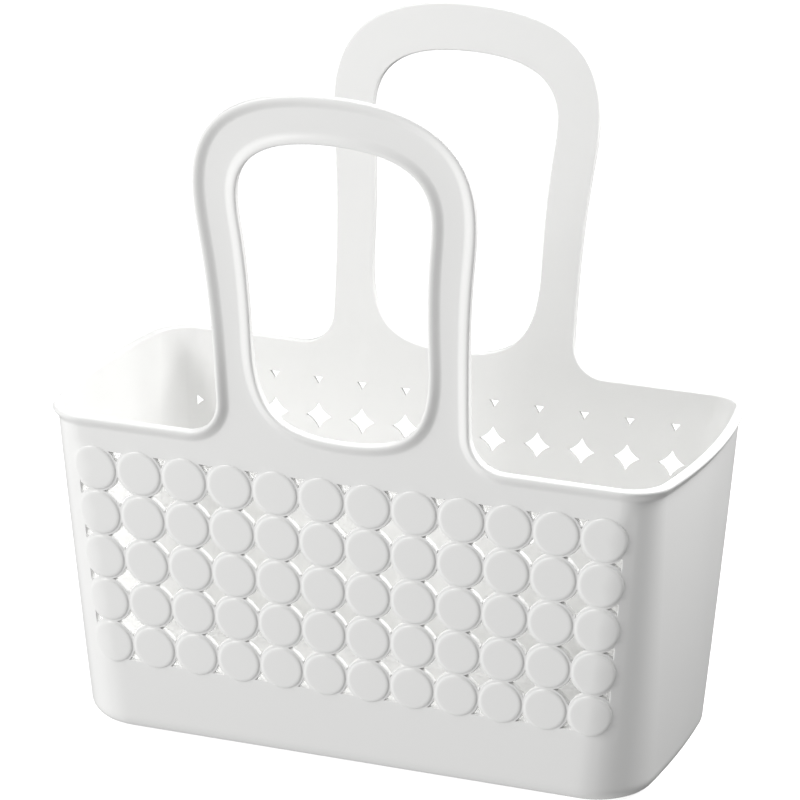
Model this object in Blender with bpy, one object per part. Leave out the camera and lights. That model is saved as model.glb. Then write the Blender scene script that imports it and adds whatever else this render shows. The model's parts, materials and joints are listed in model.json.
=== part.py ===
"""Shower caddy: an open plastic tote with two loop handles, in metres, +Z up.

The origin is at the centre of the underside, +X runs along the length and the front
faces -Y. The tote is one moulding. It is divided here along its natural zones: a floor,
a rounded bottom edge, four walls, two lengths of rim lip and, for each loop handle,
a root, two legs and a grip. The walls flare upwards, so every wall is a loft between
a plan outline low down and a larger one at the rim.
"""
import math

import bmesh
import bpy
from mathutils import Matrix, Vector
from mathutils.geometry import interpolate_bezier

# Plan outline of the outer wall face, at the ground and at the rim: half length,
# half width, how far the ends bulge, and the radius of the upright corners.
BASE_PLAN = (0.1318, 0.0588, 0.0031, 0.0280)
RIM_PLAN = (0.1431, 0.0664, 0.0072, 0.0170)
RIM_Z = 0.1476
WALL = 0.0022
GAP = 0.0003

# Rounded bottom edge and floor.
EDGE_R = 0.008
FLOOR = 0.0024
DRAIN_R = 0.004
DRAIN_X = 0.036
DRAIN_Y = 0.022

# Lip round the rim, up the handles and round their openings.
LIP_OUT = 0.0023
LIP_H = 0.003

# Pattern of touching discs: columns, rows, spacing of the top row and of the bottom
# row, height of the bottom row, and the spacing of the rows at the top.
COLUMNS = 12
ROWS = 5
PITCH_TOP = 0.02112
PITCH_LOW = 0.02006
ROW_LOW_Z = 0.042
ROW_STEP = 0.0210
DISC_RISE = 0.0007
DISC_FOOT = 0.48
DISC_FACE = 0.445
DISC_SIDES = 10
WEB = 0.0005
BORDER = 0.78
PANEL_REACH = 6.35

# Handles: lean out from upright, and half outlines in the plane of the handle, with
# x from the middle and s up from the rim. Each height below is such an s.
LEAN = math.radians(7.24)
ROOT_FILLET = 0.015
LEG_LOW = (0.0572, 0.015)
LEG_HIGH = (0.0626, 0.113)
TOP_S = 0.1602
HOLE_LOW_S = 0.0040
HOLE_NECK = (0.0398, 0.046)
HOLE_WIDE = (0.0431, 0.111)
HOLE_TOP_S = 0.1391
ARCH = 0.68
HOLE_LOW_ARCH = 0.76
FLEX_S = 0.012
FLEX_GAP = 0.0008
GRIP_S = 0.112

WHITE = (0.86, 0.86, 0.85, 1.0)
ROUGHNESS = 0.32
FLAT_LIMIT = math.radians(0.001)


# ---------------------------------------------------------------- scene helpers

def clear_scene():
    for obj in list(bpy.data.objects):
        bpy.data.objects.remove(obj, do_unlink=True)


def new_collection(name):
    collection = bpy.data.collections.new(name)
    bpy.context.scene.collection.children.link(collection)
    return collection


def plastic(name):
    material = bpy.data.materials.new(name)
    material.use_nodes = True
    shader = material.node_tree.nodes["Principled BSDF"]
    shader.inputs["Base Color"].default_value = WHITE
    shader.inputs["Roughness"].default_value = ROUGHNESS
    shader.inputs["Metallic"].default_value = 0.0
    material.diffuse_color = WHITE
    return material


def add_object(name, mesh, collection):
    obj = bpy.data.objects.new(name, mesh)
    collection.objects.link(obj)
    return obj


def add_part(name, mesh, collection):
    obj = add_object(name, mesh, collection)
    mesh.materials.clear()
    mesh.materials.append(plastic(name + "_plastic"))
    return obj


def add_cutter(name, mesh, collection):
    obj = add_object(name, mesh, collection)
    obj.display_type = "WIRE"
    obj.hide_render = True
    return obj


def boolean(obj, operation, other):
    modifier = obj.modifiers.new(operation.lower(), "BOOLEAN")
    modifier.operation = operation
    modifier.object = other
    modifier.solver = "EXACT"


def finished_mesh(obj, name):
    """The mesh that obj's modifiers or curve give, as a mesh of its own."""
    depsgraph = bpy.context.evaluated_depsgraph_get()
    mesh = bpy.data.meshes.new_from_object(obj.evaluated_get(depsgraph))
    mesh.name = name
    return mesh


def closed_mesh(name, bm):
    """The mesh of bm with its faces out and its twisted faces split into flat ones,
    which a Boolean needs."""
    bmesh.ops.connect_verts_nonplanar(bm, angle_limit=FLAT_LIMIT, faces=bm.faces)
    bmesh.ops.recalc_face_normals(bm, faces=bm.faces)
    mesh = bpy.data.meshes.new(name)
    bm.to_mesh(mesh)
    bm.free()
    return mesh


# ------------------------------------------------------------- the wall surface

def lerp(a, b, t):
    return a + (b - a) * t


def plan(z):
    """The plan outline at height z: corner centre, corner radius, and the end's arc
    as its centre x, its radius and the angle at which the corner takes over."""
    length, width, bulge, corner = (lerp(a, b, z / RIM_Z) for a, b in zip(BASE_PLAN, RIM_PLAN))
    end_r = (width ** 2 + bulge ** 2) / (2 * bulge)
    end_x = length - end_r
    corner_y = width - corner
    corner_x = end_x + math.sqrt((end_r - corner) ** 2 - corner_y ** 2)
    turn = math.atan2(corner_y, corner_x - end_x)
    return corner_x, corner_y, corner, end_x, end_r, turn


def quarter_length(z):
    """Length of the outline from the middle of the front to the middle of an end."""
    corner_x, _, corner, _, end_r, turn = plan(z)
    return corner_x + corner * (math.pi / 2 - turn) + end_r * turn


def wall_point(u, z, depth=0.0):
    """The point at length u along the outline from the middle of the front, positive
    towards +X, at height z, and depth inwards from the outer face."""
    corner_x, corner_y, corner, end_x, end_r, turn = plan(z)
    side = math.copysign(1.0, u)
    along = abs(u)
    past_flat = along - corner_x
    past_corner = past_flat - corner * (math.pi / 2 - turn)
    if past_flat <= 0:
        x, y = along, corner_y + corner - depth
    elif past_corner <= 0:
        angle = past_flat / corner
        x = corner_x + (corner - depth) * math.sin(angle)
        y = corner_y + (corner - depth) * math.cos(angle)
    else:
        angle = turn - past_corner / end_r
        x = end_x + (end_r - depth) * math.cos(angle)
        y = (end_r - depth) * math.sin(angle)
    return Vector((side * x, -y, z))


def spaced(low, high, count):
    return [lerp(low, high, i / count) for i in range(count + 1)]


def panel_stations(z):
    """Lengths u across a front panel: the flat is one span, each wrapped end has five."""
    corner_x = plan(z)[0]
    reach = PANEL_REACH * pitch_at(z)
    wrapped = spaced(corner_x, reach, 5)
    return [-u for u in reversed(wrapped)] + wrapped


def end_stations(z, start):
    """Lengths u from start, on the corner, to the middle of an end."""
    corner_x, _, corner, _, _, turn = plan(z)
    corner_end = corner_x + corner * (math.pi / 2 - turn)
    return spaced(start, corner_end, 4)[:-1] + spaced(corner_end, quarter_length(z), 5)


def right_end_line(z, start, depth):
    """The right end's outline from front to rear, as points."""
    front = [wall_point(u, z, depth) for u in end_stations(z, start)]
    rear = [Vector((p.x, -p.y, p.z)) for p in reversed(front[:-1])]
    return front + rear


def loft(name, sections):
    """A closed solid through closed loops of points that all have the same count."""
    bm = bmesh.new()
    rings = [[bm.verts.new(p) for p in section] for section in sections]
    for low, high in zip(rings, rings[1:]):
        for i in range(len(low)):
            j = (i + 1) % len(low)
            bm.faces.new((low[i], low[j], high[j], high[i]))
    bm.faces.new(reversed(rings[0]))
    bm.faces.new(rings[-1])
    return closed_mesh(name, bm)


# ------------------------------------------------------------------ disc pattern

def row_z(row):
    """Height of a row's centre line, rows counted from the bottom."""
    shrink = PITCH_LOW / PITCH_TOP
    grow = (1 - shrink) / (2 * (ROWS - 1))
    return ROW_LOW_Z + ROW_STEP * (row * shrink + row * row * grow)


def pitch_at(z):
    """Spacing of the discs at height z."""
    t = (z - ROW_LOW_Z) / (row_z(ROWS - 1) - ROW_LOW_Z)
    return lerp(PITCH_LOW, PITCH_TOP, t)


def column_u(column, z):
    """Length u of a column's centre line, columns counted from the left."""
    return (column - (COLUMNS - 1) / 2) * pitch_at(z)


def add_disc(bm, u, z):
    """A short tapered disc that follows the wall, its foot inside the wall."""
    pitch = pitch_at(z)
    foot, face = DISC_FOOT * pitch, DISC_FACE * pitch
    made = bmesh.ops.create_cone(bm, cap_ends=True, cap_tris=True, segments=DISC_SIDES,
                                 radius1=foot, radius2=face, depth=1.0)
    for vert in made["verts"]:
        depth = -DISC_RISE if vert.co.z > 0 else WALL / 2
        vert.co = wall_point(u + vert.co.x, z + vert.co.y, depth)


def star_outline(pitch):
    """A four-pointed opening between four discs, whose sides follow the discs."""
    half = pitch / 2
    ring = half + WEB
    tip = half - math.sqrt(ring ** 2 - half ** 2)
    waist = half - ring * math.sqrt(0.5)
    corner = [(tip, 0.0), (waist, waist)]
    return [(x * c - y * s, x * s + y * c)
            for c, s in ((1, 0), (0, 1), (-1, 0), (0, -1)) for x, y in corner]


def edge_outline(pitch):
    """A three-cornered opening between two discs and the pattern's border above them."""
    half = pitch / 2
    ring = half + WEB
    low = math.sqrt(ring ** 2 - half ** 2)
    high = BORDER * half
    middle = (low + high) / 2
    half_width = [half - math.sqrt(ring ** 2 - y ** 2) for y in (middle, high)]
    right = [(half_width[0], middle), (half_width[1], high)]
    return [(0.0, low)] + right + [(-x, y) for x, y in reversed(right)]


def add_opening(bm, u, z, outline, quarter_turns=0):
    """A prism of the given outline, turned in quarters, that goes through the wall."""
    c, s = ((1, 0), (0, 1), (-1, 0), (0, -1))[quarter_turns]
    turned = [(x * c - y * s, x * s + y * c) for x, y in outline]
    rings = [[bm.verts.new(wall_point(u + x, z + y, depth)) for x, y in turned]
             for depth in (-3 * DISC_RISE, 2 * WALL)]
    outer, inner = rings
    for i in range(len(outer)):
        j = (i + 1) % len(outer)
        bm.faces.new((outer[i], outer[j], inner[j], inner[i]))
    bm.faces.new(reversed(outer))
    bm.faces.new(inner)


def disc_mesh():
    bm = bmesh.new()
    for row in range(ROWS):
        for column in range(COLUMNS):
            add_disc(bm, column_u(column, row_z(row)), row_z(row))
    return closed_mesh("discs", bm)


def opening_mesh():
    bm = bmesh.new()
    for row in range(ROWS - 1):
        z = (row_z(row) + row_z(row + 1)) / 2
        pitch = pitch_at(z)
        for column in range(COLUMNS - 1):
            add_opening(bm, column_u(column + 0.5, z), z, star_outline(pitch))
        for column, turns in ((0, 1), (COLUMNS - 1, 3)):
            add_opening(bm, column_u(column, z), z, edge_outline(pitch), turns)
    for row, turns in ((0, 2), (ROWS - 1, 0)):
        z = row_z(row)
        for column in range(COLUMNS - 1):
            add_opening(bm, column_u(column + 0.5, z), z, edge_outline(pitch_at(z)), turns)
    return closed_mesh("openings", bm)


# ------------------------------------------------------------------------- tub

def panel_section(z):
    outer = [wall_point(u, z) for u in panel_stations(z)]
    inner = [wall_point(u, z, WALL) for u in panel_stations(z)]
    return outer + inner[::-1]


def end_section(z):
    start = PANEL_REACH * pitch_at(z) + GAP
    outer = right_end_line(z, start, 0.0)
    inner = right_end_line(z, start, WALL)
    return outer + inner[::-1]


def wall_levels():
    return EDGE_R + GAP, RIM_Z - LIP_H - GAP


def make_panels(parts, cutters):
    """The two perforated long walls. The rear one is the front one turned round."""
    blank = loft("front_panel", [panel_section(z) for z in wall_levels()])
    panel = add_cutter("panel_blank", blank, cutters)
    boolean(panel, "UNION", add_cutter("discs", disc_mesh(), cutters))
    boolean(panel, "DIFFERENCE", add_cutter("openings", opening_mesh(), cutters))
    add_turned_pair("panel", finished_mesh(panel, "panel"), parts)


def add_turned_pair(name, mesh, parts):
    """The front piece, and its copy turned half round to the rear."""
    add_part("front_" + name, mesh, parts)
    rear = mesh.copy()
    rear.transform(Matrix.Rotation(math.pi, 4, "Z"))
    add_part("rear_" + name, rear, parts)


def add_mirrored_ends(name, mesh, parts):
    """The right-hand piece, and its copy turned half round to the left."""
    add_part("right_" + name, mesh, parts)
    left = mesh.copy()
    left.transform(Matrix.Rotation(math.pi, 4, "Z"))
    add_part("left_" + name, left, parts)


def make_end_walls(parts):
    mesh = loft("end_wall", [end_section(z) for z in wall_levels()])
    add_mirrored_ends("end_wall", mesh, parts)


def make_rim_lips(parts):
    """The lip from a front handle's root round an end to the rear handle's root."""
    start = LEG_LOW[0] + ROOT_FILLET + GAP
    flat_end = plan(RIM_Z)[0]
    sections = []
    for level in (RIM_Z - LIP_H, RIM_Z):
        lines = []
        for depth in (-LIP_OUT, WALL):
            line = right_end_line(RIM_Z, flat_end, depth)
            first = wall_point(start, RIM_Z, depth)
            last = Vector((first.x, -first.y, first.z))
            lines.append([Vector((p.x, p.y, level)) for p in [first] + line + [last]])
        sections.append(lines[0] + lines[1][::-1])
    add_mirrored_ends("rim_lip", loft("rim_lip", sections), parts)


def full_outline(z, depth):
    """The whole plan outline at height z, as points in order round it."""
    right = right_end_line(z, plan(z)[0], depth)
    left = [Vector((-p.x, -p.y, p.z)) for p in right]
    return right + left


def make_base_edge(parts):
    """The ring with a quarter-round section that joins the floor to the walls."""
    profile = []
    for radius, angles in ((EDGE_R, spaced(0, 90, 4)), (EDGE_R - WALL, spaced(90, 0, 4))):
        for angle in angles:
            a = math.radians(angle)
            profile.append((EDGE_R - radius * math.cos(a), EDGE_R - radius * math.sin(a)))
    bm = bmesh.new()
    rings = []
    for depth, z in profile:
        points = full_outline(EDGE_R, depth)
        rings.append([bm.verts.new(Vector((p.x, p.y, z))) for p in points])
    for ring, following in zip(rings, rings[1:] + rings[:1]):
        for i in range(len(ring)):
            j = (i + 1) % len(ring)
            bm.faces.new((ring[i], ring[j], following[j], following[i]))
    add_part("base_edge", closed_mesh("base_edge", bm), parts)


def make_floor(parts):
    """The flat floor inside the bottom edge, with two rows of drain holes."""
    edge = [(p.x, p.y) for p in full_outline(EDGE_R, EDGE_R + GAP)]
    drains = []
    for row in (-1, 1):
        for column in range(-2, 3):
            centre = (column * DRAIN_X, row * DRAIN_Y)
            drains.append(circle(centre, DRAIN_R, 12))
    mesh = plate_mesh("floor", [edge] + drains, 0.0, FLOOR)
    add_part("floor", mesh, parts)


def circle(centre, radius, count):
    turns = [2 * math.pi * i / count for i in range(count)]
    return [(centre[0] + radius * math.cos(t), centre[1] + radius * math.sin(t)) for t in turns]


def plate_mesh(name, outlines, low, high):
    """A flat plate of the given outlines, holes included, between two levels."""
    curve = bpy.data.curves.new(name, "CURVE")
    curve.dimensions = "2D"
    curve.fill_mode = "BOTH"
    curve.extrude = (high - low) / 2
    for outline in outlines:
        spline = curve.splines.new("POLY")
        spline.points.add(len(outline) - 1)
        spline.use_cyclic_u = True
        for point, (x, y) in zip(spline.points, outline):
            point.co = (x, y, 0.0, 1.0)
    obj = add_object(name, curve, bpy.context.scene.collection)
    mesh = finished_mesh(obj, name)
    bpy.data.objects.remove(obj)
    bm = bmesh.new()
    bm.from_mesh(mesh)
    bmesh.ops.remove_doubles(bm, verts=bm.verts, dist=1e-6)
    bmesh.ops.translate(bm, verts=bm.verts, vec=(0, 0, (low + high) / 2))
    bmesh.ops.recalc_face_normals(bm, faces=bm.faces)
    bm.to_mesh(mesh)
    bm.free()
    return mesh


# --------------------------------------------------------------------- handles

def bezier(start, start_handle, end_handle, end, count):
    knots = [Vector((x, y, 0)) for x, y in (start, start_handle, end_handle, end)]
    return [(p.x, p.y) for p in interpolate_bezier(*knots, count + 1)]


def arch(side, top_s, inset, fullness=ARCH):
    """From a point on the side, where the outline runs upright, to the top middle."""
    x, s = side[0] + inset, side[1]
    top = top_s + inset
    return bezier((x, s), (x, lerp(s, top, fullness)), (fullness * x, top), (0.0, top), 10)


def upright_blend(low, high, inset):
    """A side that is upright at both ends and moves out between them."""
    x0, x1 = low[0] + inset, high[0] + inset
    s0, s1 = low[1], high[1]
    return bezier((x0, s0), (x0, lerp(s0, s1, 0.7)), (x1, lerp(s0, s1, 0.8)), (x1, s1), 5)


def root_fillet(inset):
    """The concave quarter round from the rim up to the side of a leg."""
    centre_x = LEG_LOW[0] + ROOT_FILLET
    radius = ROOT_FILLET - inset
    angles = [math.radians(a) for a in spaced(270, 180, 6)]
    return [(centre_x + radius * math.cos(a), LEG_LOW[1] + radius * math.sin(a)) for a in angles]


def mirrored(half):
    """A whole outline from its right half, which ends at the middle."""
    return half + [(-x, s) for x, s in reversed(half) if abs(x) > 1e-9]


def handle_outline(bottom, inset):
    """The outer outline, moved inwards by -inset."""
    half = root_fillet(inset)
    half += upright_blend(LEG_LOW, LEG_HIGH, inset)[1:]
    half += arch(LEG_HIGH, TOP_S, inset)[1:]
    return mirrored([(half[0][0], bottom)] + half)


def hole_outline(inset):
    """The opening's outline, moved outwards by inset."""
    lower = arch((HOLE_NECK[0], -HOLE_NECK[1]), -HOLE_LOW_S, inset, HOLE_LOW_ARCH)
    half = [(x, -s) for x, s in reversed(lower)][1:]
    half += upright_blend(HOLE_NECK, HOLE_WIDE, inset)[1:]
    half += arch(HOLE_WIDE, HOLE_TOP_S, inset)[1:]
    return mirrored(half) + [(0.0, HOLE_LOW_S - inset)]


def handle_place():
    """Turns a plate drawn flat, x across and y up the handle, to the front handle's
    plane, with the flat side towards the inside of the tub."""
    foot = Matrix.Translation((0, -RIM_PLAN[1], RIM_Z))
    return foot @ Matrix.Rotation(math.pi / 2 + LEAN, 4, "X")


def channel_mesh(cutters):
    """A whole front handle, drawn flat: a plate with a raised lip along both edges."""
    bottom = -LIP_H + 2 * GAP / 3
    blank = plate_mesh("handle_blank", [handle_outline(bottom, 0.0), hole_outline(0.0)],
                       -WALL, LIP_OUT)
    inner = [handle_outline(2 * bottom, -LIP_H), hole_outline(LIP_H)]
    pocket = plate_mesh("handle_pocket", inner, 0.0, 2 * LIP_OUT)
    obj = add_cutter("handle_blank", blank, cutters)
    boolean(obj, "DIFFERENCE", add_cutter("handle_pocket", pocket, cutters))
    return finished_mesh(obj, "handle")


def box_mesh(name, low, high):
    bm = bmesh.new()
    made = bmesh.ops.create_cube(bm, size=1.0)
    for vert in made["verts"]:
        vert.co = Vector([lerp(a, b, c + 0.5) for a, b, c in zip(low, high, vert.co)])
    return closed_mesh(name, bm)


def make_handles(parts, cutters):
    """Each handle as a root on the tub, two legs and a grip, cut from one channel.
    The legs bend at the inner face, in the middle of the gap between them and the root."""
    whole = channel_mesh(cutters)
    far = 0.2
    zones = {
        "handle_root": ((-far, -far), (far, FLEX_S - FLEX_GAP)),
        "right_leg": ((0, FLEX_S), (far, GRIP_S)),
        "left_leg": ((-far, FLEX_S), (0, GRIP_S)),
        "grip": ((-far, GRIP_S + GAP), (far, far)),
    }
    for name, (low, high) in zones.items():
        zone = box_mesh(name + "_zone", (*low, -far), (*high, far))
        piece = add_cutter(name + "_blank", whole.copy(), cutters)
        boolean(piece, "INTERSECT", add_cutter(name + "_zone", zone, cutters))
        mesh = finished_mesh(piece, name)
        mesh.transform(handle_place())
        add_turned_pair(name, mesh, parts)


def main():
    clear_scene()
    parts = new_collection("shower_caddy")
    cutters = new_collection("cutters")
    make_floor(parts)
    make_base_edge(parts)
    make_panels(parts, cutters)
    make_end_walls(parts)
    make_rim_lips(parts)
    make_handles(parts, cutters)


main()
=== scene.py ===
"""Looks of the shower caddy: one smooth white moulding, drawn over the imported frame.

The shell is drawn zone by zone, one piece for each zone of the frame, and the zones
meet edge to edge with shared surface normals, so the plastic runs on without a seam.
"""
import json
import math

import bmesh
import bpy
import numpy as np
from bpy.props import FloatProperty, FloatVectorProperty, IntProperty, PointerProperty
from mathutils import Matrix, Vector
from mathutils.geometry import delaunay_2d_cdt, interpolate_bezier
from mathutils.kdtree import KDTree

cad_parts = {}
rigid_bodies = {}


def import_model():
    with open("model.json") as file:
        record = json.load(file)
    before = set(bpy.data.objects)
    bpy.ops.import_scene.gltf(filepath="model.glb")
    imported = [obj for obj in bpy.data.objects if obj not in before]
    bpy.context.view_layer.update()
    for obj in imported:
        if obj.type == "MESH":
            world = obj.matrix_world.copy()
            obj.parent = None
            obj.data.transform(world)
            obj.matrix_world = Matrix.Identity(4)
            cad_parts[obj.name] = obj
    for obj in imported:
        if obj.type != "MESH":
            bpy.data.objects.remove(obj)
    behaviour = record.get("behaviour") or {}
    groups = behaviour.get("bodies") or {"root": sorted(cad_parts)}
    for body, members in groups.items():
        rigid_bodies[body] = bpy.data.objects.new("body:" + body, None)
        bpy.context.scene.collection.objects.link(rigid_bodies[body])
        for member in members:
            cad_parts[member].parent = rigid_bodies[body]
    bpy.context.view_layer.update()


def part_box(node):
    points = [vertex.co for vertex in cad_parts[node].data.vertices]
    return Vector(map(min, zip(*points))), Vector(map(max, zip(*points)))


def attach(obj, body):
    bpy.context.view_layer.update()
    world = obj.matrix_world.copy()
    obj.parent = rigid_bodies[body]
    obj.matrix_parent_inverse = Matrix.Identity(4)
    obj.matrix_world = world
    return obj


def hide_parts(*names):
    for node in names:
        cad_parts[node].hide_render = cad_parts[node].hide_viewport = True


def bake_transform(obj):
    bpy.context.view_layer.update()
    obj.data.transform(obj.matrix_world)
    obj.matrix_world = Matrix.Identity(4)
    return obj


bl_info = {
    "name": "Shower Caddy",
    "version": (1, 0, 0),
    "blender": (4, 5, 0),
    "location": "View3D > Sidebar > Shower Caddy",
    "description": "Models a moulded shower tote with a disc pattern and two loop handles",
    "category": "Add Mesh",
}

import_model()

RIM_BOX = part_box("right_rim_lip")
EDGE_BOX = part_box("base_edge")
FLOOR_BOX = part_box("floor")
GRIP_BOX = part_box("front_grip")


# ------------------------------------------------------------------- properties

def length(name, text, default):
    return FloatProperty(name=name, description=text, default=default, unit="LENGTH",
                         subtype="DISTANCE", precision=5)


class CaddyTub(bpy.types.PropertyGroup):
    rim_z: length("Rim height", "Height of the rim over the ground", RIM_BOX[1][2])
    wall: length("Wall", "Thickness of every wall", 0.0022)
    lip_out: length("Lip projection", "How far the lip stands out from the wall", 0.0023)
    lip_height: length("Lip height", "Height of the lip along an edge", 0.0030)
    base_bulge: length("Base end bulge", "Bulge of the ends at the ground", 0.0031)
    rim_bulge: length("Rim end bulge", "Bulge of the ends at the rim", 0.0072)
    base_corner: length("Base corner", "Radius of the upright corners at the ground", 0.0280)
    rim_corner: length("Rim corner", "Radius of the upright corners at the rim", 0.0170)
    base_length: length("Base half length", "Half length at the ground", 0.1318)
    base_width: length("Base half width", "Half width at the ground", 0.0588)
    rim_length: length("Rim half length", "Half length at the rim", RIM_BOX[1][0] - 0.0023)
    rim_width: length("Rim half width", "Half width at the rim", RIM_BOX[1][1] - 0.0023)
    edge_r: length("Bottom edge", "Radius of the rounded bottom edge", EDGE_BOX[1][2])
    floor: length("Floor", "Thickness of the floor", FLOOR_BOX[1][2])
    drain_r: length("Drain radius", "Radius of a drain hole", 0.004)
    drain_x: length("Drain spacing", "Spacing of the drain holes along the floor", 0.036)
    drain_y: length("Drain offset", "Distance of the drain rows from the middle", 0.022)


class CaddyPattern(bpy.types.PropertyGroup):
    columns: IntProperty(name="Columns", description="Discs in a row", default=12, min=3)
    rows: IntProperty(name="Rows", description="Rows of discs", default=5, min=3)
    pitch_top: length("Top spacing", "Spacing of the discs in the top row", 0.02112)
    pitch_low: length("Bottom spacing", "Spacing of the discs in the bottom row", 0.02006)
    row_low_z: length("Bottom row", "Height of the bottom row's middle", 0.042)
    row_step: length("Row step", "Spacing of rows as large as the top one", 0.0210)
    rise: length("Disc rise", "How far a disc stands out from the wall", 0.0007)
    web: length("Web", "Ledge round a disc, up to the edge of an opening", 0.0005)
    soften: length("Opening edge", "Radius on the edges of the openings", 0.00028)
    taper: length("Opening taper", "How much an opening narrows on its way in", 0.00045)
    face: FloatProperty(name="Disc face", description="Radius of the flat face in pitches", default=0.39)
    foot: FloatProperty(name="Disc foot", description="Radius of the foot in pitches", default=0.476)
    border: FloatProperty(name="Border", description="Border line in pitches from a disc's middle",
                          default=0.39)


class CaddyHandle(bpy.types.PropertyGroup):
    lean: FloatProperty(name="Lean", description="Outward lean of a handle", subtype="ANGLE",
                        default=math.radians(7.24))
    sweep: length("Sweep", "Height over which a wall turns into its handle", 0.020)
    fillet: length("Root fillet", "Radius where the rim turns up into a leg", 0.015)
    leg_low: length("Leg foot", "Half width over the legs at their foot", 0.0572)
    leg_low_s: length("Leg foot height", "Height of the legs' foot over the rim", 0.015)
    leg_high: length("Leg head", "Half width over the legs at their head", 0.0626)
    leg_high_s: length("Leg head height", "Height of the legs' head over the rim", 0.113)
    top_s: length("Handle top", "Height of the handle's top over the rim", 0.1602)
    relief: FloatProperty(name="Lip relief", description="Projection of the lip up the handle, as "
                          "a share of the rim's", default=0.62, min=0.2, max=1)
    relief_s: length("Relief height", "Height over which the lip's projection eases", 0.060)
    hole_low_s: length("Opening low", "Height of the opening's lowest point", 0.0040)
    hole_neck: length("Opening neck", "Half width where the opening's sides start", 0.0398)
    hole_neck_s: length("Opening neck height", "Height of that neck over the rim", 0.046)
    hole_wide: length("Opening head", "Half width where the opening is widest", 0.0431)
    hole_wide_s: length("Opening head height", "Height of the widest place", 0.111)
    hole_top_s: length("Opening top", "Height of the opening's top over the rim", 0.1391)
    arch: FloatProperty(name="Arch", description="Fullness of the upper corners", default=0.68)
    low_arch: FloatProperty(name="Lower arch", description="Fullness of the lower corners", default=0.76)


class CaddyLook(bpy.types.PropertyGroup):
    white: FloatVectorProperty(name="White", description="Colour of the plastic", subtype="COLOR",
                               default=(0.90, 0.90, 0.89), min=0, max=1)
    roughness: FloatProperty(name="Roughness", description="Roughness of the moulded skin",
                             default=0.30, min=0, max=1)
    grain: length("Grain", "Depth of the fine mould grain", 0.00003)


# ------------------------------------------------------------- the wall surface

def lerp(a, b, t):
    return a + (b - a) * t


def spaced(low, high, count):
    return [lerp(low, high, i / count) for i in range(count + 1)]


def arc(centre, radius, start, end, count):
    angles = [math.radians(a) for a in spaced(start, end, count)]
    return [(centre[0] + radius * math.cos(a), centre[1] + radius * math.sin(a)) for a in angles]


def smooth(share):
    """A share between 0 and 1, eased so that it starts and ends level."""
    return share ** 2 * (3 - 2 * share)


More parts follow.
